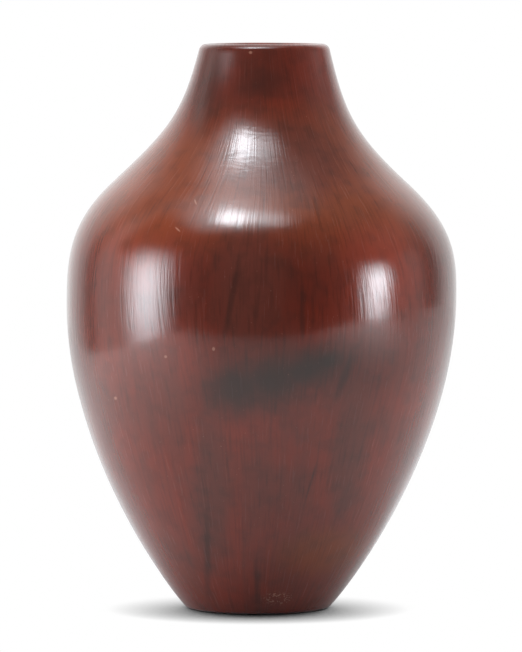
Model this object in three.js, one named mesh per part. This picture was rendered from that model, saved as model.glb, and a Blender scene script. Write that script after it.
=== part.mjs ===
// A hand-coiled earthenware jar with a full shoulder and a narrow neck, in millimetres, +Z up.
// The potter presses a round base slab, turns its edge up, and builds the wall from ropes of clay.
// Each rope is closed into a ring, pressed onto the inner edge of the ring below and drawn up to a
// thin course. A last coil is rounded into the lip. The outside is scraped and polished to one
// curve, and the inside keeps a faint swell on each course. The origin is the centre of the foot.

import * as THREE from "three";
import { toCreasedNormals } from "three/addons/utils/BufferGeometryUtils.js";

// Sizes of the outline: where each span of the wall starts and which way it leans there
const jarHeight = 292;
const footRadius = 36.8;
const footFlare = THREE.MathUtils.degToRad(45);
const bellyRadius = 100.8;
const bellyHeight = 160;
const shoulderRadius = 76.5;
const shoulderHeight = 220;
const shoulderSlope = THREE.MathUtils.degToRad(47);
const lipRadius = 33.8;
const neckTaper = THREE.MathUtils.degToRad(14);

// How far the wall holds its direction on each side of those places, which sets its fullness
const footReach = 17;
const bellyReachBelow = 75.5;
const bellyReachAbove = 23;
const shoulderReachBelow = 31;
const shoulderReachAbove = 39;
const lipReach = 34;

// Thicknesses and edges of the clay
const wallThickness = 7;
const lipThickness = 8;
const floorThickness = 10;
const floorHollow = 12;
const footRound = 2;

// The potter's courses, each drawn up from a rope of clay about 12 thick, and how they are joined
const lowerCourses = 9;
const shoulderCourses = 4;
const neckCourses = 4;
const slabRise = 26;
const rimRise = 16;
const lap = 4;
const slipFilm = 0.3;
const courseSwell = 0.6;

// The hand-built jar leans to +X towards its rim, and its shoulder has settled to -X and to +Y
const rimLean = 3.5;
const settleLeft = 1.9;
const settleBack = 1.75;
const settleHeight = 226;
const settleSpread = 28;

// How finely the round forms are cut
const sides = 56;
const courseSteps = 2;
const slabSteps = 3;
const rimSteps = 2;
const edgeSteps = 3;
const lipSteps = 9;
const creaseAngle = THREE.MathUtils.degToRad(25);
const halvings = 40;

// How rough the two finishes are: stone-polished slip, and the bare clay of the foot
const polishedRoughness = 0.3;
const bareRoughness = 0.45;

// A point a distance along a direction that leans inwards by an angle from straight up
function towards(start, distance, leanInwards) {
  return new THREE.Vector2(
    start.x - distance * Math.sin(leanInwards),
    start.y + distance * Math.cos(leanInwards),
  );
}

// One span of the outline, leaving its start and reaching its end in the given directions
function span(start, startLean, startReach, end, endLean, endReach) {
  const leaving = towards(start, startReach, startLean);
  const arriving = towards(end, -endReach, endLean);
  return new THREE.CubicBezierCurve(start, leaving, arriving, end);
}

// The outline of the outside, from the foot to the top of the wall, as radius and height
const foot = new THREE.Vector2(footRadius, 0);
const belly = new THREE.Vector2(bellyRadius, bellyHeight);
const shoulder = new THREE.Vector2(shoulderRadius, shoulderHeight);
const lipDrop = (lipThickness / 2) * (1 - Math.sin(neckTaper));
const wallTop = new THREE.Vector2(lipRadius, jarHeight - lipDrop);
const lowerSpan = span(foot, -footFlare, footReach, belly, 0, bellyReachBelow);
const shoulderSpan = span(belly, 0, bellyReachAbove, shoulder, shoulderSlope, shoulderReachBelow);
const neckSpan = span(shoulder, shoulderSlope, shoulderReachAbove, wallTop, neckTaper, lipReach);
const outline = new THREE.CurvePath();
for (const part of [lowerSpan, shoulderSpan, neckSpan]) outline.add(part);
const bellyAt = lowerSpan.getLength();
const shoulderAt = bellyAt + shoulderSpan.getLength();
const topAt = outline.getLength();
const rimAt = topAt - rimRise;

// The wall keeps one thickness up to the rim coil, which thickens towards the lip
function thicknessAt(distance) {
  const share = THREE.MathUtils.clamp((distance - rimAt) / rimRise, 0, 1);
  return THREE.MathUtils.lerp(wallThickness, lipThickness, share);
}

// The point at a distance up the outside of the wall, moved in from the surface by a depth
function wallPoint(distance, depth) {
  const along = distance / topAt;
  const tangent = outline.getTangent(along);
  const inwards = new THREE.Vector2(-tangent.y, tangent.x);
  return outline.getPoint(along).addScaledVector(inwards, depth);
}

// Points up the outside of one piece, from its lower joint to its upper joint
function outerFace(from, to, steps) {
  return evenly(from, to, steps).map((distance) => wallPoint(distance, 0));
}

// Points down the inside, where the middle of a course stands proud of its joints
function innerFace(from, to, steps, swell) {
  return evenly(to, from, steps).map((distance, i) => {
    const proud = swell * Math.sin((Math.PI * i) / steps);
    return wallPoint(distance, thicknessAt(distance) + proud);
  });
}

function evenly(from, to, steps) {
  return Array.from({ length: steps + 1 }, (_, i) => THREE.MathUtils.lerp(from, to, i / steps));
}

// Where the middle of the jar stands at a height, off the foot's axis
function middleAt(height) {
  const settle = Math.exp(-(((height - settleHeight) / settleSpread) ** 2));
  const lean = (rimLean * height) / jarHeight;
  return new THREE.Vector2(lean - settleLeft * settle, settleBack * settle);
}

// Turns a profile into clay: a round solid about the leaning middle line of the jar
function turned(profile) {
  const geometry = new THREE.LatheGeometry(profile, sides).rotateX(Math.PI / 2);
  const place = geometry.getAttribute("position");
  for (let i = 0; i < place.count; i++) {
    const middle = middleAt(place.getZ(i));
    place.setX(i, place.getX(i) + middle.x).setY(i, place.getY(i) + middle.y);
  }
  return toCreasedNormals(geometry, creaseAngle);
}

function clayPiece(name, profile, colour, roughness) {
  const material = new THREE.MeshStandardMaterial({ color: colour, roughness, metalness: 0 });
  const mesh = new THREE.Mesh(turned(profile), material);
  mesh.name = name;
  return mesh;
}

// A rounded edge between two points, pulled towards the corner that it takes off
function roundedEdge(start, corner, end) {
  return new THREE.QuadraticBezierCurve(start, corner, end).getPoints(edgeSteps);
}

// The distance up the wall at which its inside stands at a height, found by halving
function distanceAtInnerHeight(height) {
  let low = 0;
  let high = bellyAt;
  for (let i = 0; i < halvings; i++) {
    const middle = (low + high) / 2;
    if (wallPoint(middle, wallThickness).y < height) low = middle;
    else high = middle;
  }
  return low;
}

// The base slab: a flat foot with a rounded edge, and a floor that sweeps up into the wall
function baseSlab() {
  const underside = new THREE.Vector2(0, 0);
  const footEdge = new THREE.Vector2(footRadius - footRound, 0);
  const edge = roundedEdge(footEdge, foot, wallPoint(footRound, 0));
  const seat = slabRise - slipFilm / 2;
  const floorAt = distanceAtInnerHeight(floorThickness);
  const corner = wallPoint(floorAt, wallThickness);
  const hollowTop = wallPoint(floorAt + floorHollow, wallThickness);
  const hollowEnd = new THREE.Vector2(corner.x - floorHollow, floorThickness);
  const profile = [
    underside,
    ...edge,
    ...outerFace(footRound, seat, slabSteps).slice(1),
    wallPoint(seat - lap, wallThickness),
    ...roundedEdge(hollowTop, corner, hollowEnd),
    new THREE.Vector2(0, floorThickness),
  ];
  return clayPiece("base_slab", profile, 0x4d241d, bareRoughness);
}

// One course of the wall: a ring of clay between two joints that slope down to the inside
function coil(name, lowerJoint, upperJoint, colour) {
  const from = lowerJoint + slipFilm / 2;
  const to = upperJoint - slipFilm / 2;
  const outer = outerFace(from, to, courseSteps);
  const inner = innerFace(from - lap, to - lap, courseSteps, courseSwell);
  return clayPiece(name, [...outer, ...inner, outer[0].clone()], colour, polishedRoughness);
}

// A zone of the wall, built from courses of equal height
function coilZone(zone, courses, from, to, colour) {
  const group = new THREE.Group();
  const joints = evenly(from, to, courses);
  for (let i = 0; i < courses; i++) {
    group.add(coil(`${zone}_coil_${i + 1}`, joints[i], joints[i + 1], colour));
  }
  return group;
}

// The rim coil: the last course, thickened and rounded over into the lip
function rimCoil() {
  const from = rimAt + slipFilm / 2;
  const outer = outerFace(from, topAt, rimSteps);
  const inner = innerFace(from - lap, topAt, rimSteps + 1, 0);
  const middle = wallPoint(topAt, lipThickness / 2);
  const lip = evenly(0, Math.PI, lipSteps)
    .slice(1, -1)
    .map((turn) => {
      const angle = turn + neckTaper;
      return new THREE.Vector2(
        middle.x + (lipThickness / 2) * Math.cos(angle),
        middle.y + (lipThickness / 2) * Math.sin(angle),
      );
    });
  const profile = [...outer, ...lip, ...inner, outer[0].clone()];
  return clayPiece("rim_coil", profile, 0x51261f, polishedRoughness);
}

const jar = new THREE.Group();
jar.add(
  baseSlab(),
  coilZone("lower_wall", lowerCourses, slabRise, bellyAt, 0x643029),
  coilZone("shoulder", shoulderCourses, bellyAt, shoulderAt, 0x5a2219),
  coilZone("neck", neckCourses, shoulderAt, rimAt, 0x582a22),
  rimCoil(),
);

export default jar;
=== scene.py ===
"""A coil-built jar of burnished redware, as a Blender scene, in metres with +Z up."""
import math

import bpy
import numpy as np
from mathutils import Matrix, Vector


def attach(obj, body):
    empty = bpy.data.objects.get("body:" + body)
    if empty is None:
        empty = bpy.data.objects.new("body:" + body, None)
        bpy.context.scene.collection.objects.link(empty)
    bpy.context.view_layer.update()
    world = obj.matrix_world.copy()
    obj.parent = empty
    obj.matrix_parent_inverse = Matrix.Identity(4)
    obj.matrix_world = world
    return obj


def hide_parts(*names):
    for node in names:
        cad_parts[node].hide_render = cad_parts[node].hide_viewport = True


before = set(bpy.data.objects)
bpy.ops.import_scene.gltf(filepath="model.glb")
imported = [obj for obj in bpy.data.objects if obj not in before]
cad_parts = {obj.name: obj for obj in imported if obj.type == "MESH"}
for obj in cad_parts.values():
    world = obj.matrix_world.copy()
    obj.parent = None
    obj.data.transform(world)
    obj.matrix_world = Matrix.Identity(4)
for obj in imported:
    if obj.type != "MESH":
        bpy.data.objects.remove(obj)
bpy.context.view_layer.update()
bpy.ops.object.select_all(action="DESELECT")

# The camera stands a little over three metres off with a long lens, just above the jar's rim, and
# looks down at the middle of the jar.
CAMERA_PLACE = Vector((0.0017, -3.18, 0.347))
CAMERA_AIM = Vector((0.0017, 0, 0.146))
LENS = 340
SENSOR = 36
bpy.ops.object.camera_add(location=CAMERA_PLACE)
camera = bpy.context.object
camera.name = "camera"
camera.rotation_euler = (CAMERA_AIM - CAMERA_PLACE).to_track_quat("-Z", "Y").to_euler()
camera.data.lens = LENS
camera.data.sensor_width = SENSOR
bpy.context.scene.camera = camera

# The wall of the jar, before it is parted into the courses that it was built from. The potter
# scraped the outside of all the courses to one curve, so the wall is turned in one go. Its outline
# has four places where its direction is known, and keeps each direction for a reach on both sides.
MM = 0.001
JAR_HEIGHT = 292 * MM
FOOT_RADIUS = 36.8 * MM
FOOT_FLARE = math.radians(45)
BELLY_RADIUS = 100.8 * MM
BELLY_HEIGHT = 160 * MM
SHOULDER_RADIUS = 76.5 * MM
SHOULDER_HEIGHT = 220 * MM
SHOULDER_SLOPE = math.radians(47)
LIP_RADIUS = 33.8 * MM
NECK_TAPER = math.radians(14)
FOOT_REACH = 17 * MM
BELLY_REACH_BELOW = 75.5 * MM
BELLY_REACH_ABOVE = 23 * MM
SHOULDER_REACH_BELOW = 31 * MM
SHOULDER_REACH_ABOVE = 39 * MM
LIP_REACH = 34 * MM
OUTLINE_STEPS = 256
WALL = 7 * MM
LIP = 8 * MM
RIM_RISE = 16 * MM


def knot(radius, height, lean, reach_below, reach_above):
    """A place on the outline, with the direction of the wall there and how far the wall keeps it."""
    place = Vector((radius, 0, height))
    up_the_wall = Vector((-math.sin(lean), 0, math.cos(lean)))
    return place, place - up_the_wall * reach_below, place + up_the_wall * reach_above


# The wall ends a little below the full height, where the round of the lip begins.
wall_top = JAR_HEIGHT - LIP / 2 * (1 - math.sin(NECK_TAPER))
knots = [
    knot(FOOT_RADIUS, 0, -FOOT_FLARE, 0, FOOT_REACH),
    knot(BELLY_RADIUS, BELLY_HEIGHT, 0, BELLY_REACH_BELOW, BELLY_REACH_ABOVE),
    knot(
        SHOULDER_RADIUS,
        SHOULDER_HEIGHT,
        SHOULDER_SLOPE,
        SHOULDER_REACH_BELOW,
        SHOULDER_REACH_ABOVE,
    ),
    knot(LIP_RADIUS, wall_top, NECK_TAPER, LIP_REACH, 0),
]
bpy.ops.curve.primitive_bezier_curve_add()
outline = bpy.context.object
outline.data.resolution_u = OUTLINE_STEPS
bezier = outline.data.splines[0]
bezier.bezier_points.add(len(knots) - len(bezier.bezier_points))
for point, (place, before, after) in zip(bezier.bezier_points, knots):
    point.handle_left_type = point.handle_right_type = "FREE"
    point.co, point.handle_left, point.handle_right = place, before, after
bpy.ops.object.convert(target="MESH")
drawn = np.array([vertex.co[:] for vertex in outline.data.vertices])[:, [0, 2]]
bpy.ops.object.delete()
run = np.concatenate([[0], np.cumsum(np.hypot(*np.diff(drawn, axis=0).T))])
belly_at, shoulder_at, top_at = (
    run[np.argmin(np.hypot(*(drawn - [place.x, place.z]).T))] for place, _, _ in knots[1:]
)


def outside(distance):
    """Radius and height of the outside, at a distance up the wall from the foot."""
    return np.array([np.interp(distance, run, drawn[:, 0]), np.interp(distance, run, drawn[:, 1])])


def inward(distance):
    """The direction square to the outside there, into the clay."""
    along = outside(distance + MM) - outside(distance - MM)
    return np.array([-along[1], along[0]]) / np.hypot(*along)


def inside(distance, proud=0):
    """Radius and height of the inside, where a course may stand proud of its joints. In the rim coil
    the wall thickens to the lip."""
    share = min(max((distance - top_at + RIM_RISE) / RIM_RISE, 0), 1)
    return outside(distance) + inward(distance) * (WALL + (LIP - WALL) * share + proud)


# The joints between the pieces, and the outline of the whole wall as a line of points: out over the
# underside, up the outside, over the lip, down the inside and in over the floor. Each point keeps
# the number of the piece that the wall belongs to from there on, and whether its clay is bare.
SLAB_RISE = 26 * MM
COURSES = {"lower_wall": 9, "shoulder": 4, "neck": 4}
LAP = 4 * MM
COURSE_SWELL = 0.6 * MM
FOOT_ROUND = 2 * MM
FLOOR = 10 * MM
FLOOR_HOLLOW = 12 * MM
UNDERSIDE_STEPS = 3
EDGE_STEPS = 6
SLAB_STEPS = 11
COURSE_STEPS = 8
LIP_STEPS = 18
HOLLOW_STEPS = 8
FLOOR_STEPS = 3
rim_at = top_at - RIM_RISE
joints = [SLAB_RISE]
zone_ends = {"lower_wall": belly_at, "shoulder": shoulder_at, "neck": rim_at}
piece_names = ["base_slab"]
for zone, courses in COURSES.items():
    joints += list(np.linspace(joints[-1], zone_ends[zone], courses + 1)[1:])
    piece_names += [f"{zone}_coil_{i + 1}" for i in range(courses)]
piece_names.append("rim_coil")
slab, rim = 0, len(piece_names) - 1
points, owners, bare = [], [], []


def lay(place, owner, is_bare):
    """Adds a point to the outline of the whole wall."""
    points.append(np.array(place))
    owners.append(owner)
    bare.append(is_bare)


def rounded(start, corner, end, steps):
    """Points along a round that takes off a corner, without its first point."""
    shares = np.linspace(0, 1, steps + 1)[1:, None]
    return (1 - shares) ** 2 * start + 2 * shares * (1 - shares) * corner + shares**2 * end


def evenly(start, end, steps):
    """Evenly spaced values from the start on, without the end."""
    return np.linspace(start, end, steps + 1)[:-1]


outer_joint_at, inner_joint_at = [], []
foot_flat = FOOT_RADIUS - FOOT_ROUND
for radius in evenly(0, foot_flat, UNDERSIDE_STEPS):
    lay([radius, 0], slab, is_bare=True)
lay([foot_flat, 0], slab, is_bare=False)
for place in rounded(points[-1], np.array([FOOT_RADIUS, 0]), outside(FOOT_ROUND), EDGE_STEPS):
    lay(place, slab, is_bare=False)
for distance in evenly(FOOT_ROUND, SLAB_RISE, SLAB_STEPS)[1:]:
    lay(outside(distance), slab, is_bare=False)
for owner, (low, high) in enumerate(zip(joints, joints[1:] + [top_at]), start=1):
    outer_joint_at.append(len(points))
    for distance in evenly(low, high, COURSE_STEPS):
        lay(outside(distance), owner, is_bare=False)
lip_middle = outside(top_at) + inward(top_at) * LIP / 2
for turn in evenly(0, math.pi, LIP_STEPS):
    angle = turn + NECK_TAPER
    out_and_up = np.array([math.cos(angle), math.sin(angle)])
    lay(lip_middle + LIP / 2 * out_and_up, rim, is_bare=False)
inner_joints = [joint - LAP for joint in joints]
for owner in range(rim, slab, -1):
    high = top_at if owner == rim else inner_joints[owner]
    low = inner_joints[owner - 1]
    swell = 0 if owner == rim else COURSE_SWELL
    for share in evenly(0, 1, COURSE_STEPS):
        proud = swell * math.sin(math.pi * share)
        lay(inside(high + (low - high) * share, proud), owner, is_bare=True)
    inner_joint_at.insert(0, len(points))
low_on_the_wall = run[run < SLAB_RISE]
at_floor = np.interp(FLOOR, [inside(distance)[1] for distance in low_on_the_wall], low_on_the_wall)
hollow_top = inside(at_floor + FLOOR_HOLLOW)
floor_corner = inside(at_floor)
hollow_end = np.array([floor_corner[0] - FLOOR_HOLLOW, FLOOR])
lay(inside(inner_joints[slab]), slab, is_bare=True)
lay(hollow_top, slab, is_bare=True)
for place in rounded(hollow_top, floor_corner, hollow_end, HOLLOW_STEPS):
    lay(place, slab, is_bare=True)
for radius in np.linspace(hollow_end[0], 0, FLOOR_STEPS + 1)[1:]:
    lay([radius, FLOOR], slab, is_bare=True)

# The outline is drawn from one point in the middle of the underside, and spun round the jar's axis.
# Each point keeps its number in the outline as its station, which tells the pieces apart afterwards.
SIDES = 256
WELD = 0.02 * MM
bpy.ops.mesh.primitive_plane_add(size=MM)
wall = bpy.context.object
wall.name = "whole_wall"
bpy.ops.object.mode_set(mode="EDIT")
bpy.ops.mesh.merge(type="CENTER")
for start, end in zip(points, points[1:]):
    step = (end[0] - start[0], 0, end[1] - start[1])
    bpy.ops.mesh.extrude_region_move(TRANSFORM_OT_translate={"value": step})
bpy.ops.object.mode_set(mode="OBJECT")
wall.data.attributes.new("station", "INT", "POINT").data.foreach_set("value", range(len(points)))
bpy.ops.object.mode_set(mode="EDIT")
bpy.ops.mesh.select_all(action="SELECT")
bpy.ops.mesh.spin(steps=SIDES, angle=2 * math.pi, center=(0, 0, 0), axis=(0, 0, 1))
bpy.ops.mesh.select_all(action="SELECT")
bpy.ops.mesh.remove_doubles(threshold=WELD)
bpy.ops.mesh.normals_make_consistent(inside=False)
bpy.ops.object.mode_set(mode="OBJECT")

# The jar leans a little to +X towards its rim, and its shoulder has settled to -X and to +Y.
# Scraping left the wall uneven by up to a tenth of a millimetre each way, which shows in the edges
# of the reflections.
RIM_LEAN = 3.5 * MM
SETTLE_LEFT = 1.9 * MM
SETTLE_HEIGHT = 226 * MM
SETTLE_SPREAD = 28 * MM
SETTLE_BACK = 2.3 * MM
BACK_HEIGHT = 219 * MM
BACK_SPREAD = 20 * MM
UNEVEN = 0.2 * MM
UNEVEN_WIDTH = 34 * MM
FOOT_KEPT_FLAT = 12 * MM


def read(mesh, kind, name, width=1, number=float):
    """The values that a mesh keeps under a name for all its vertices, edges, loops or faces."""
    layer = getattr(mesh, kind)
    values = np.zeros(len(layer) * width, number)
    layer.foreach_get(name, values)
    return values.reshape(-1, width) if width > 1 else values


place = read(wall.data, "vertices", "co", 3)
settle = np.exp(-(((place[:, 2] - SETTLE_HEIGHT) / SETTLE_SPREAD) ** 2))
place[:, 0] += RIM_LEAN * place[:, 2] / JAR_HEIGHT - SETTLE_LEFT * settle
place[:, 1] += SETTLE_BACK * np.exp(-(((place[:, 2] - BACK_HEIGHT) / BACK_SPREAD) ** 2))
wall.data.vertices.foreach_set("co", place.ravel())
off_the_foot = wall.vertex_groups.new(name="off_the_foot")
for number, height in enumerate(place[:, 2]):
    off_the_foot.add([number], min(height / FOOT_KEPT_FLAT, 1), "REPLACE")
scraped = wall.modifiers.new("scraped", "DISPLACE")
scraped.texture = bpy.data.textures.new("scraped_uneven", "CLOUDS")
scraped.texture.noise_scale = UNEVEN_WIDTH
scraped.texture.noise_depth = 0
scraped.texture_coords = "LOCAL"
scraped.strength = UNEVEN
scraped.vertex_group = "off_the_foot"
bpy.ops.object.modifier_apply(modifier="scraped")
bpy.ops.object.shade_smooth()

# The outside is stone-polished slip: an iron-red clay wash, rubbed with a smooth pebble before the
# firing and coated with a thin film of pine pitch while still hot. It gives the eye a dark red-brown
# gloss with fine strokes up the wall, an orange shoulder, and grey clouds where smoke lay.
POLISH_STROKE = 0.7 * MM
POLISH_STROKE_LENGTH = 11 * MM
STREAK = 4 * MM
STREAK_LENGTH = 70 * MM
MOTTLE = 4 * MM
SLIP_PATCH = 22 * MM
STROKE_SWAY = 14 * MM
STROKE_SWAY_WIDTH = 90 * MM
STROKE_DEPTH = 0.08 * MM
SLIP_RED = "#7c2e1f"
SLIP_BROWN = "#5e3027"
WARM_SLIP = "#76391f"
DARK_SLIP = "#4d2018"
RED_SLIP = "#8f3826"
SMOKED_STREAK = "#30201b"
CLOUD_GREY = "#332823"
POLISH_ROUGHNESS = 0.23
PITCH_ROUGHNESS = 0.11
ROUGHNESS_SPREAD = 0.06


def add_node(tree, kind, inputs=(), **settings):
    """Adds a node with its settings. An input is a plain value or the output of another node."""
    made = tree.nodes.new(kind)
    for name, value in settings.items():
        setattr(made, name, value)
    for socket, value in dict(inputs).items():
        if isinstance(value, bpy.types.NodeSocket):
            tree.links.new(value, made.inputs[socket])
        else:
            made.inputs[socket].default_value = value
    return made


def linear(code):
    """The linear colour of an sRGB hex code."""
    shares = [int(code[i : i + 2], 16) / 255 for i in (1, 3, 5)]
    return [s / 12.92 if s <= 0.04045 else ((s + 0.055) / 1.055) ** 2.4 for s in shares] + [1]


polished_slip = bpy.data.materials.new("stone_polished_slip")
polished_slip.use_nodes = True
tree = polished_slip.node_tree
tree.nodes.clear()
spot = add_node(tree, "ShaderNodeTexCoord").outputs["Object"]
sideways = add_node(tree, "ShaderNodeVectorMath", {0: spot, 1: (1, 1, 0)}, operation="MULTIPLY")
outwards = add_node(tree, "ShaderNodeVectorMath", {0: sideways.outputs[0]}, operation="NORMALIZE")
round_belly = add_node(
    tree, "ShaderNodeVectorMath", {0: outwards.outputs[0], "Scale": BELLY_RADIUS}, operation="SCALE"
)
sway = add_node(
    tree, "ShaderNodeTexNoise", {"Vector": spot, "Scale": 1 / STROKE_SWAY_WIDTH, "Detail": 0}
)
swayed = add_node(
    tree,
    "ShaderNodeVectorMath",
    {0: sway.outputs["Color"], 1: (STROKE_SWAY, STROKE_SWAY, 0), 2: round_belly.outputs[0]},
    operation="MULTIPLY_ADD",
)


# The patterns below go into whichever material is being made, and follow its spot on the jar.
def strokes(width, length, detail):
    """Marks that run up the wall, with their real width at the belly and a real length. A wave of
    the noise is a mark and the gap beside it, so it is twice the mark's width."""
    drawn_out = add_node(
        tree,
        "ShaderNodeVectorMath",
        {0: spot, 1: (0, 0, width / length), 2: swayed.outputs[0]},
        operation="MULTIPLY_ADD",
    )
    settings = {"Vector": drawn_out.outputs[0], "Scale": 0.5 / width, "Detail": detail}
    return add_node(tree, "ShaderNodeTexNoise", settings).outputs["Fac"]


def patches(width, detail):
    """Soft patches of a real width."""
    settings = {"Vector": spot, "Scale": 0.5 / width, "Detail": detail}
    return add_node(tree, "ShaderNodeTexNoise", settings).outputs["Fac"]


def between(value, low, high, most=1):
    """Nought at the low value, the most at the high one, and a smooth step between them."""
    limits = {"Value": value, "From Min": low, "From Max": high, "To Max": most}
    step = add_node(tree, "ShaderNodeMapRange", limits, interpolation_type="SMOOTHSTEP")
    return step.outputs[0]


def weighed(value, weight, more):
    """One value times its weight, and another added to it."""
    settings = {0: value, 1: weight, 2: more}
    return add_node(tree, "ShaderNodeMath", settings, operation="MULTIPLY_ADD").outputs[0]


def blended(share, colour, other):
    """Two colours mixed, each a hex code or the output of a node."""
    settings = {0: share}
    for socket, value in ((6, colour), (7, other)):
        settings[socket] = linear(value) if isinstance(value, str) else value
    return add_node(tree, "ShaderNodeMix", settings, data_type="RGBA").outputs[2]


fine_strokes = strokes(POLISH_STROKE, POLISH_STROKE_LENGTH, detail=3)
streaks = strokes(STREAK, STREAK_LENGTH, detail=2)
mottle = patches(MOTTLE, detail=3)
# The same streaks, strokes and mottle make the edges of all the marks ragged.
ragged = weighed(streaks, 0.5, weighed(fine_strokes, 0.2, weighed(mottle, 0.3, 0)))


def in_marks(marks, ragged_by, soft, most=1):
    """The most in the middle of the marks, nought outside them, and ragged edges. Each mark has its
    middle and its reaches along X, Y and Z in mm, and its tilt in degrees."""
    found = None
    for middle, reach, tilt in marks:
        settings = {
            "Vector": spot,
            "Location": [m * MM for m in middle],
            "Rotation": (0, -math.radians(tilt), 0),
            "Scale": [r * MM for r in reach],
        }
        seen = add_node(tree, "ShaderNodeMapping", settings, vector_type="TEXTURE")
        out = add_node(tree, "ShaderNodeVectorMath", {0: seen.outputs[0]}, operation="LENGTH")
        edge = weighed(ragged, ragged_by, out.outputs["Value"])
        mean_edge = 1 + ragged_by / 2
        inside_it = between(edge, mean_edge + soft, mean_edge - soft, most)
        if found is None:
            found = inside_it
        else:
            both = {0: found, 1: inside_it}
            found = add_node(tree, "ShaderNodeMath", both, operation="MAXIMUM").outputs[0]
    return found


# The slip fired orange round the shoulder and in one patch low on the right, and redder on the right
# of the belly.
WARM_PARTS = [((0, 0, 222), (200, 200, 34), 0), ((34, -50, 34), (22, 30, 12), 0)]
RED_PARTS = [((60, -78, 176), (22, 44, 22), 0)]
# It is darker where the pitch lay thicker: on the neck, round the belly, right of the cloud and in
# two places behind.
DARK_PARTS = [
    ((-18, -32, 280), (42, 40, 32), 0),
    ((-100, -30, 164), (26, 60, 46), 0),
    ((0, -100, 172), (46, 30, 32), 0),
    ((102, -20, 172), (28, 60, 48), 0),
    ((50, -84, 132), (32, 30, 17), 0),
    ((-60, 70, 176), (50, 60, 34), 0),
    ((80, 40, 60), (40, 50, 40), 0),
]
# Smoke laid brown areas and dark streaks on it.
BROWN_PARTS = [
    ((-24, -72, 66), (9, 40, 44), 0),
    ((46, -74, 84), (9, 34, 34), -6),
    ((18, -62, 236), (34, 34, 22), 0),
    ((-4, -100, 172), (18, 30, 26), 0),
    ((-70, 60, 120), (22, 30, 50), 8),
    ((30, 84, 84), (30, 30, 44), -4),
    ((88, 20, 196), (20, 26, 30), 0),
]
DARK_STREAKS = [
    ((-13, -99, 166), (1.4, 12, 18), -11),
    ((22.2, -99, 156), (1.2, 12, 10), 0),
    ((-25.6, -54, 34), (1.6, 30, 26), 0),
    ((-0.4, -50, 18), (1.2, 22, 12), 0),
    ((27, -76, 72), (0.5, 26, 12), -16),
    ((44, -87, 127), (2, 26, 12), -20),
    ((-25, -29, 273), (7, 20, 26), -8),
    ((3, -38, 272), (13, 14, 7), 10),
    ((74, 50, 110), (2, 14, 30), 4),
    ((-40, 80, 96), (2, 14, 34), 0),
    ((6, 94, 128), (2.4, 14, 22), -5),
]
# The first four smoke clouds make the long cloud on the front, and the other three are on the back.
SMOKE_CLOUDS = [
    ((-10, -96, 121), (18, 30, 13), 6),
    ((8, -97, 125), (18, 30, 13), 12),
    ((24, -94, 130), (20, 30, 9), 18),
    ((34, -91, 134), (10, 30, 6), 14),
    ((60, 78, 92), (34, 40, 16), 12),
    ((-72, 52, 196), (22, 34, 10), -20),
    ((8, 98, 150), (16, 30, 20), 30),
]
streaky = weighed(streaks, 0.5, patches(SLIP_PATCH, detail=2))
in_warm = in_marks(WARM_PARTS, ragged_by=1.2, soft=0.5, most=0.8)
in_red = in_marks(RED_PARTS, ragged_by=1.2, soft=0.6, most=0.7)
in_dark = in_marks(DARK_PARTS, ragged_by=0.9, soft=0.6, most=0.55)
in_brown = in_marks(BROWN_PARTS, ragged_by=1.2, soft=0.5, most=0.85)
in_streak = in_marks(DARK_STREAKS, ragged_by=1.2, soft=0.7, most=0.5)
in_cloud = in_marks(SMOKE_CLOUDS, ragged_by=0.5, soft=0.85, most=0.9)
slip = blended(between(streaky, low=0.5, high=1, most=0.7), SLIP_RED, SLIP_BROWN)
warmed = blended(in_warm, slip, WARM_SLIP)
reddened = blended(in_red, warmed, RED_SLIP)
pitched = blended(in_dark, reddened, DARK_SLIP)
browned = blended(in_brown, pitched, SLIP_BROWN)
stroked_dark = blended(between(fine_strokes, low=0.5, high=0.3, most=0.3), browned, SMOKED_STREAK)
mottled_dark = blended(between(mottle, low=0.56, high=0.3, most=0.22), stroked_dark, SMOKED_STREAK)
streaked = blended(in_streak, mottled_dark, SMOKED_STREAK)
smoked = blended(in_cloud, streaked, CLOUD_GREY)

# Small pale marks: grains of grit that the slip doesn't hide, chips on the belly and the lip, two
# scratches over the shoulder and a scuffed place over the foot.
SPECKS = [
    ((-46.3, -86.7, 136), (0.7, 3, 0.7), 0),
    ((-22.1, -96.7, 140.6), (0.7, 3, 0.9), 0),
    ((-72.2, -59.1, 113), (0.8, 3, 0.8), 0),
    ((-3.6, -33.2, 288), (0.8, 3, 0.7), 0),
    ((-40.3, -83.1, 200), (0.4, 6, 1.6), 50),
    ((-31.4, -76.3, 213.5), (0.4, 6, 1.4), 20),
]
GRIT_SPECK = 0.35 * MM
SCUFFED_PART = [((10.2, -42.6, 9), (6.5, 12, 3.5), 0)]
SCUFF = 0.5 * MM
WORN_CLAY = "#b98772"
in_grit = between(patches(GRIT_SPECK, detail=0), low=0.84, high=0.9, most=0.3)
in_speck = in_marks(SPECKS, ragged_by=0.3, soft=0.4, most=0.45)
scratched = between(patches(SCUFF, detail=2), low=0.55, high=0.62)
in_scuff = weighed(scratched, in_marks(SCUFFED_PART, ragged_by=0.5, soft=0.5, most=0.5), 0)
gritted = blended(in_grit, smoked, WORN_CLAY)
speckled = blended(in_speck, gritted, WORN_CLAY)
slip_colour = blended(in_scuff, speckled, WORN_CLAY)

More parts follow.
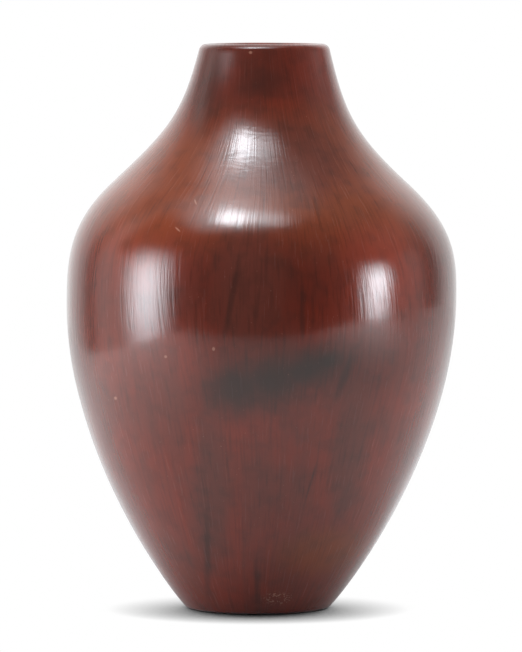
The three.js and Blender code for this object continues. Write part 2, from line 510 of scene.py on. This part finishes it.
# On the front of the shoulder the drying slip crinkled under the stone, mostly level. Elsewhere
# its crinkles are faint.
CRINKLED_PART = [((-8, -70, 234), (28, 34, 20), 0)]
CRINKLE = 1.4 * MM
CRINKLE_DEPTH = 0.08 * MM
CRINKLE_HEIGHT_TO_LENGTH = 0.3
crinkled_place = add_node(
    tree,
    "ShaderNodeVectorMath",
    {0: spot, 1: (CRINKLE_HEIGHT_TO_LENGTH, CRINKLE_HEIGHT_TO_LENGTH, 1)},
    operation="MULTIPLY",
)
crinkles = add_node(
    tree,
    "ShaderNodeTexNoise",
    {"Vector": crinkled_place.outputs[0], "Scale": 0.5 / CRINKLE, "Detail": 1, "Distortion": 0.6},
).outputs["Fac"]
how_crinkled = weighed(in_marks(CRINKLED_PART, ragged_by=0.5, soft=0.5), 0.85, 0.15)
crinkled_height = weighed(crinkles, how_crinkled, 0)
crinkled = add_node(tree, "ShaderNodeBump", {"Height": crinkled_height, "Distance": CRINKLE_DEPTH})
stroked = add_node(
    tree,
    "ShaderNodeBump",
    {"Height": fine_strokes, "Distance": STROKE_DEPTH, "Normal": crinkled.outputs[0]},
)
worked = add_node(
    tree,
    "ShaderNodeMapRange",
    {
        "Value": fine_strokes,
        "From Min": 0.3,
        "From Max": 0.7,
        "To Min": POLISH_ROUGHNESS - ROUGHNESS_SPREAD,
        "To Max": POLISH_ROUGHNESS + ROUGHNESS_SPREAD,
    },
)
gloss = add_node(
    tree,
    "ShaderNodeBsdfPrincipled",
    {
        "Base Color": slip_colour,
        "Roughness": worked.outputs[0],
        "IOR": 1.25,
        "Coat Weight": 1,
        "Coat Roughness": PITCH_ROUGHNESS,
        "Coat IOR": 1.5,
        "Normal": stroked.outputs[0],
        "Coat Normal": stroked.outputs[0],
    },
)
add_node(tree, "ShaderNodeOutputMaterial", {"Surface": gloss.outputs[0]})

# Inside and underneath the clay was wiped but not slipped or polished: bare fired earthenware, with
# the marks of wet fingers round the wall. It gives the eye a dull sooty brown.
WIPED_RIDGE = 2 * MM
WIPED_DEPTH = 0.5 * MM
RIDGE_HEIGHT_TO_LENGTH = 0.12
GRIT = 0.7 * MM
GRIT_DEPTH = 0.25 * MM
SOOT_PATCH = 24 * MM
SOOTY_CLAY = "#3a2a22"
FIRED_CLAY = "#7d4c34"
bare_clay = bpy.data.materials.new("bare_fired_clay")
bare_clay.use_nodes = True
tree = bare_clay.node_tree
tree.nodes.clear()
spot = add_node(tree, "ShaderNodeTexCoord").outputs["Object"]
level_rings = add_node(
    tree,
    "ShaderNodeVectorMath",
    {0: spot, 1: (RIDGE_HEIGHT_TO_LENGTH, RIDGE_HEIGHT_TO_LENGTH, 1)},
    operation="MULTIPLY",
)
ridges = add_node(
    tree,
    "ShaderNodeTexNoise",
    {"Vector": level_rings.outputs[0], "Scale": 0.5 / WIPED_RIDGE, "Detail": 3},
)
wiped = add_node(
    tree, "ShaderNodeBump", {"Height": ridges.outputs["Fac"], "Distance": WIPED_DEPTH}
)
gritty = add_node(
    tree,
    "ShaderNodeBump",
    {"Height": patches(GRIT, detail=3), "Distance": GRIT_DEPTH, "Normal": wiped.outputs[0]},
)
clean = between(patches(SOOT_PATCH, detail=3), low=0.36, high=0.66)
clay_colour = blended(clean, SOOTY_CLAY, FIRED_CLAY)
dull = add_node(
    tree,
    "ShaderNodeBsdfPrincipled",
    {"Base Color": clay_colour, "Roughness": 0.85, "Normal": gritty.outputs[0]},
)
add_node(tree, "ShaderNodeOutputMaterial", {"Surface": dull.outputs[0]})

# The base slab is patted out of one lump, and its edge is turned up into the start of the wall. It
# is taken off the whole wall at its joint, as every piece is, where the next rope was pressed down
# on its inner edge. It keeps the whole wall's shading, because scraping and polishing hid the joint.
clay = wall.copy()
clay.data = wall.data.copy()
bpy.context.scene.collection.objects.link(clay)


def station_of_faces(mesh):
    """The first point of the outline that each face touches, which tells its part of the wall."""
    station = read(mesh.attributes["station"], "data", "value", number=np.int32)
    corners = station[read(mesh, "loops", "vertex_index", number=np.int32)]
    return np.minimum.reduceat(corners, read(mesh, "polygons", "loop_start", number=np.int32))


def choose(mesh, kind, wanted):
    """Selects the edges or faces that are wanted, and nothing else."""
    for other in ("vertices", "edges", "polygons"):
        getattr(mesh, other).foreach_set("select", np.zeros(len(getattr(mesh, other)), bool))
    getattr(mesh, kind).foreach_set("select", wanted)
    edges_only = kind == "edges"
    bpy.context.tool_settings.mesh_select_mode = (False, edges_only, not edges_only)


def close_joint(piece, joint):
    """Closes a piece along the slope of one of its joints, with a sharp edge on both sides."""
    station = read(piece.data.attributes["station"], "data", "value", number=np.int32)
    ends = station[read(piece.data, "edges", "vertices", 2, np.int32)]
    at_joint = (ends == outer_joint_at[joint]).all(1) | (ends == inner_joint_at[joint]).all(1)
    choose(piece.data, "edges", at_joint)
    bpy.ops.object.mode_set(mode="EDIT")
    bpy.ops.mesh.mark_sharp()
    bpy.ops.mesh.bridge_edge_loops()
    bpy.ops.object.mode_set(mode="OBJECT")


def activate(piece):
    bpy.ops.object.select_all(action="DESELECT")
    piece.select_set(True)
    bpy.context.view_layer.objects.active = piece


def part_off(node):
    """Takes the piece that stands for a node off what is left of the clay, and finishes its mesh."""
    number = piece_names.index(node)
    activate(clay)
    if number < rim:
        choose(clay.data, "polygons", np.array(owners)[station_of_faces(clay.data)] == number)
        bpy.ops.object.mode_set(mode="EDIT")
        bpy.ops.mesh.separate(type="SELECTED")
        bpy.ops.object.mode_set(mode="OBJECT")
    piece = next((other for other in bpy.context.selected_objects if other != clay), clay)
    piece.name = piece.data.name = f"fired_{node}"
    activate(piece)
    is_bare = np.array(bare)[station_of_faces(piece.data)]
    piece.data.materials.append(polished_slip)
    piece.data.materials.append(bare_clay)
    piece.data.polygons.foreach_set("material_index", is_bare.astype(np.int32))
    for joint in (number - 1, number):
        if slab <= joint < rim:
            close_joint(piece, joint)
    bpy.ops.object.mode_set(mode="EDIT")
    bpy.ops.mesh.select_all(action="SELECT")
    bpy.ops.mesh.normals_make_consistent(inside=False)
    bpy.ops.object.mode_set(mode="OBJECT")
    piece.vertex_groups.clear()
    unbroken = piece.modifiers.new("unbroken", "DATA_TRANSFER")
    unbroken.object = wall
    unbroken.use_loop_data = True
    unbroken.data_types_loops = {"CUSTOM_NORMAL"}
    unbroken.loop_mapping = "NEAREST_POLYNOR"
    bpy.ops.object.modifier_apply(modifier="unbroken")
    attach(piece, "root")
    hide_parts(node)
    return piece


part_off("base_slab")

# The lower wall is nine ropes of clay, each closed into a ring and drawn up to a thin course. It
# swells out from the foot to the belly.
for course in range(COURSES["lower_wall"]):
    part_off(f"lower_wall_coil_{course + 1}")

# The shoulder is four rings that turn in over the belly, each a little smaller than the one below
# and pressed down on its inner edge while both were wet.
for course in range(COURSES["shoulder"]):
    part_off(f"shoulder_coil_{course + 1}")

# The neck is four rings that turn up from the shoulder and narrow towards the mouth. Each was
# pinched on to the one below and scraped to one curve with it.
for course in range(COURSES["neck"]):
    part_off(f"neck_coil_{course + 1}")

# The rim coil is the last rope, a little thicker than the wall, rounded over with a wet finger into
# the lip and polished like the outside.
part_off("rim_coil")
bpy.data.objects.remove(wall)

# The table is matt white laminate. Its near edge shows in the jar's belly as the line between the
# pale lower half and the dark middle, and the left softbox reaches down past its left edge. The
# camera sees the table as a white glow, with the jar's soft shadow painted in.
TABLE_SIDE = 2.6
NEAR_EDGE = -0.74
LEFT_EDGE = -0.7
# Pools of painted light on the table: a middle, a reach and a glow for each.
PAINTED_LIGHT_POOLS = [((-0.8, -0.2, 0), 0.66, 1.3), ((0.8, -0.45, 0), 0.5, 1.2)]
SHADOW_REACH = 40 * MM
middle_of_table = (LEFT_EDGE + TABLE_SIDE / 2, NEAR_EDGE + TABLE_SIDE / 2, 0)
bpy.ops.mesh.primitive_plane_add(size=TABLE_SIDE, location=middle_of_table)
bpy.ops.object.transform_apply(location=True, rotation=True, scale=True)
table = bpy.context.object
table.name = "table"
white_table = bpy.data.materials.new("white_laminate_painted_light")
white_table.use_nodes = True
tree = white_table.node_tree
tree.nodes.clear()
ray = add_node(tree, "ShaderNodeLightPath")
place_on_table = add_node(tree, "ShaderNodeTexCoord").outputs["Object"]
place = add_node(tree, "ShaderNodeSeparateXYZ", {0: place_on_table})
# What the jar gets from the table, in reflections and as light: a white with painted shade that
# dims towards the near edge, and painted glow, more from the far part and in a pool towards each side
# lamp, given by its middle, its reach and its glow.
painted_far_glow = add_node(
    tree,
    "ShaderNodeMapRange",
    {"Value": place.outputs["Y"], "From Min": 0.02, "From Max": 0.4, "To Max": 0.14},
)
table_light = painted_far_glow.outputs[0]
for spot, reach, most in PAINTED_LIGHT_POOLS:
    off = {0: place_on_table, 1: spot}
    distance = add_node(tree, "ShaderNodeVectorMath", off, operation="DISTANCE").outputs["Value"]
    fall = {"Value": distance, "From Max": reach, "To Min": most, "To Max": 0}
    painted_pool = add_node(tree, "ShaderNodeMapRange", fall).outputs[0]
    both = {0: table_light, 1: painted_pool}
    table_light = add_node(tree, "ShaderNodeMath", both, operation="ADD").outputs[0]
painted_table_glow = add_node(tree, "ShaderNodeEmission", {"Strength": table_light})
# Painted shade: the table's white gets darker towards its near edge.
painted_falloff = add_node(
    tree,
    "ShaderNodeMapRange",
    {"Value": place.outputs["Y"], "From Min": -0.66, "From Max": -0.22, "To Min": 0.3, "To Max": 0.46},
)
plain = add_node(tree, "ShaderNodeBsdfDiffuse", {"Color": painted_falloff.outputs[0]})
matt = add_node(tree, "ShaderNodeAddShader", {0: plain.outputs[0], 1: painted_table_glow.outputs[0]})
# What the camera sees: a white glow with a painted shadow, darker where the jar hides the light
# from behind and above, as the occlusion finds it.
towards_the_light = add_node(tree, "ShaderNodeCombineXYZ", {"Y": 0.64, "Z": 0.77})
from_behind = add_node(
    tree,
    "ShaderNodeAmbientOcclusion",
    {"Distance": SHADOW_REACH, "Normal": towards_the_light.outputs[0]},
)
open_to_sweep = add_node(
    tree,
    "ShaderNodeMapRange",
    {"Value": from_behind.outputs["AO"], "From Min": 0.24, "From Max": 0.88},
)
painted_shadow = add_node(tree, "ShaderNodeMath", {0: open_to_sweep.outputs[0], 1: 0.7}, operation="POWER")
glow = add_node(tree, "ShaderNodeEmission", {"Strength": painted_shadow.outputs[0]})
seen = add_node(
    tree,
    "ShaderNodeMixShader",
    {0: ray.outputs["Is Camera Ray"], 1: matt.outputs[0], 2: glow.outputs[0]},
)
add_node(tree, "ShaderNodeOutputMaterial", {"Surface": seen.outputs[0]})
table.data.materials.append(white_table)

# The studio round the jar: a white sweep behind it, a pale card low down on each side, and a dark
# room in front. Each level is given for a direction, in degrees from straight behind towards +X,
# and shows in reflections. The jar's own colours are lit by a soft fill from behind and above.
LOW_IN_GLOSS = [
    (-180, 0.03), (-100, 0.03), (-90, 0.9), (-74, 0.95), (-66, 0.7), (-61, 0.25), (-55, 0.2),
    (-48, 0.6), (-35, 0.85), (-20, 0.95), (20, 0.84), (37, 0.78), (45, 0.64), (53, 0.28),
    (60, 0.12), (66, 0.25), (72, 0.55), (86, 0.55), (95, 0.03), (180, 0.03),
]
HIGH_IN_GLOSS = [
    (-180, 0.03), (-115, 0.08), (-82, 0.15), (-74, 0.78), (-69, 0.74), (-60, 0.28), (-45, 0.7),
    (-36, 0.88), (-18, 0.95), (18, 0.92), (28, 0.82), (38, 0.62), (48, 0.4), (60, 0.22), (75, 0.25),
    (95, 0.2), (115, 0.08), (180, 0.03),
]
FILL_FROM_BEHIND = 1.6
FILL_FROM_ABOVE = 1.8
studio = bpy.data.worlds.new("studio")
bpy.context.scene.world = studio
bpy.context.scene.view_settings.view_transform = "Standard"
studio.use_nodes = True
tree = studio.node_tree
tree.nodes.clear()
ray = add_node(tree, "ShaderNodeLightPath")
way = add_node(
    tree, "ShaderNodeSeparateXYZ", {0: add_node(tree, "ShaderNodeTexCoord").outputs["Generated"]}
)
turn = add_node(
    tree, "ShaderNodeMath", {0: way.outputs["X"], 1: way.outputs["Y"]}, operation="ARCTAN2"
)
round_the_jar = add_node(
    tree, "ShaderNodeMapRange", {"Value": turn.outputs[0], "From Min": -math.pi, "From Max": math.pi}
)


def levels(stops):
    """The level in each direction round the jar, from a list of directions and levels."""
    ramp = add_node(tree, "ShaderNodeValToRGB", {"Fac": round_the_jar.outputs[0]})
    marks = ramp.color_ramp.elements
    marks[1].position = 1
    for mark, (_, level_there) in zip(marks, (stops[0], stops[-1])):
        mark.color = (level_there, level_there, level_there, 1)
    for degrees, level_there in stops[1:-1]:
        marks.new((degrees + 180) / 360).color = (level_there, level_there, level_there, 1)
    return ramp.outputs["Color"]


how_high = add_node(
    tree,
    "ShaderNodeMapRange",
    {"Value": way.outputs["Z"], "From Min": 0.22, "From Max": 0.42},
    interpolation_type="SMOOTHSTEP",
)
sweep = add_node(
    tree,
    "ShaderNodeMix",
    {0: how_high.outputs[0], 6: levels(LOW_IN_GLOSS), 7: levels(HIGH_IN_GLOSS)},
    data_type="RGBA",
)
# The room dims towards the ceiling, and is brighter again straight above.
towards_ceiling = add_node(
    tree,
    "ShaderNodeMapRange",
    {"Value": way.outputs["Z"], "From Min": 0.55, "From Max": 0.75, "To Min": 1, "To Max": 0.5},
    interpolation_type="SMOOTHSTEP",
)
dimmed = add_node(
    tree, "ShaderNodeMath", {0: sweep.outputs[2], 1: towards_ceiling.outputs[0]}, operation="MULTIPLY"
)
straight_up = add_node(
    tree,
    "ShaderNodeMapRange",
    {"Value": way.outputs["Z"], "From Min": 0.9, "From Max": 0.98, "To Max": 0.6},
    interpolation_type="SMOOTHSTEP",
)
seen_in_gloss = add_node(
    tree, "ShaderNodeMath", {0: dimmed.outputs[0], 1: straight_up.outputs[0]}, operation="ADD"
)
from_above = add_node(
    tree, "ShaderNodeMath", {0: way.outputs["Z"], 1: FILL_FROM_ABOVE}, operation="MULTIPLY"
)
soft_fill = add_node(
    tree,
    "ShaderNodeMath",
    {0: way.outputs["Y"], 1: FILL_FROM_BEHIND, 2: from_above.outputs[0]},
    operation="MULTIPLY_ADD",
)
no_less = add_node(tree, "ShaderNodeMath", {0: soft_fill.outputs[0], 1: 0}, operation="MAXIMUM")
plain_or_gloss = add_node(
    tree,
    "ShaderNodeMix",
    {0: ray.outputs["Is Glossy Ray"], 2: no_less.outputs[0], 3: seen_in_gloss.outputs[0]},
    data_type="FLOAT",
)
strength = add_node(
    tree,
    "ShaderNodeMix",
    {0: ray.outputs["Is Camera Ray"], 2: plain_or_gloss.outputs[0], 3: 1},
    data_type="FLOAT",
)
surround = add_node(
    tree, "ShaderNodeBackground", {"Color": (1, 1, 1, 1), "Strength": strength.outputs[0]}
)
add_node(tree, "ShaderNodeOutputWorld", {"Surface": surround.outputs[0]})

# The lamps are softboxes: one on each side of the jar, about level with its belly, and three
# overhead. The face of each is brightest in its middle and dims towards its edges. The glow of its
# middle is given on a scale where 1 is the white of the backdrop.
SIDE_LAMP_DISTANCE = 1.3
KEY_TURN = math.radians(-35)
COOL_WHITE = (0.88, 0.94, 1)


def softbox(name, place, wide, high, glow, softness):
    """A lamp that faces down, and dims faster towards its edges the softer it is."""
    bpy.ops.object.light_add(type="AREA", location=place)
    lamp = bpy.context.object
    lamp.name = name
    lamp.data.shape = "RECTANGLE"
    lamp.data.size = wide
    lamp.data.size_y = high
    lamp.data.energy = glow * math.pi * wide * high
    lamp.data.color = COOL_WHITE
    lamp.data.use_nodes = True
    tree = lamp.data.node_tree
    tree.nodes.clear()
    face = add_node(tree, "ShaderNodeNewGeometry").outputs["Parametric"]
    mirrored = add_node(tree, "ShaderNodeVectorMath", {0: (1, 1, 1), 1: face}, operation="SUBTRACT")
    dome = add_node(
        tree, "ShaderNodeVectorMath", {0: face, 1: mirrored.outputs[0]}, operation="MULTIPLY"
    )
    sides = add_node(tree, "ShaderNodeSeparateXYZ", {0: dome.outputs[0]})
    both = add_node(
        tree, "ShaderNodeMath", {0: sides.outputs["X"], 1: sides.outputs["Y"]}, operation="MULTIPLY"
    )
    # Both sides are a quarter in the middle of the face, so 16 times their product is 1 there.
    share = add_node(tree, "ShaderNodeMath", {0: both.outputs[0], 1: 16}, operation="MULTIPLY")
    dimmed = add_node(tree, "ShaderNodeMath", {0: share.outputs[0], 1: softness}, operation="POWER")
    bulb = add_node(tree, "ShaderNodeEmission", {"Strength": dimmed.outputs[0]})
    add_node(tree, "ShaderNodeOutputLight", {"Surface": bulb.outputs[0]})
    return lamp


def beside(degrees, up):
    """A place at the side lamps' distance, with its angle from the camera towards +X and the angle
    at which it lies above the belly."""
    turn, rise = math.radians(degrees), math.radians(up)
    way = Vector((math.sin(turn) * math.cos(rise), -math.cos(turn) * math.cos(rise), math.sin(rise)))
    return Vector((0, 0, BELLY_HEIGHT)) + way * SIDE_LAMP_DISTANCE


left_softbox = softbox(
    "left_softbox", beside(degrees=-69, up=3.8), wide=1.16, high=1.7, glow=13, softness=3.6
)
right_softbox = softbox(
    "right_softbox", beside(degrees=69.5, up=3.4), wide=0.82, high=1, glow=19, softness=5
)
for lamp in (left_softbox, right_softbox):
    to_jar = Vector((0, 0, BELLY_HEIGHT)) - lamp.location
    lamp.rotation_euler = to_jar.to_track_quat("-Z", "Y").to_euler()
overhead_key = softbox(
    "overhead_key", (-0.285, -0.4, 1.47), wide=0.48, high=0.48, glow=20, softness=1.7
)
overhead_key.rotation_euler = (0, 0, KEY_TURN)
softbox("overhead_spill", (0.04, -0.43, 1.46), wide=0.66, high=0.42, glow=4.5, softness=1.6)
softbox("overhead_fill", (-0.33, -0.3, 1.48), wide=1.36, high=1.16, glow=3.8, softness=2)
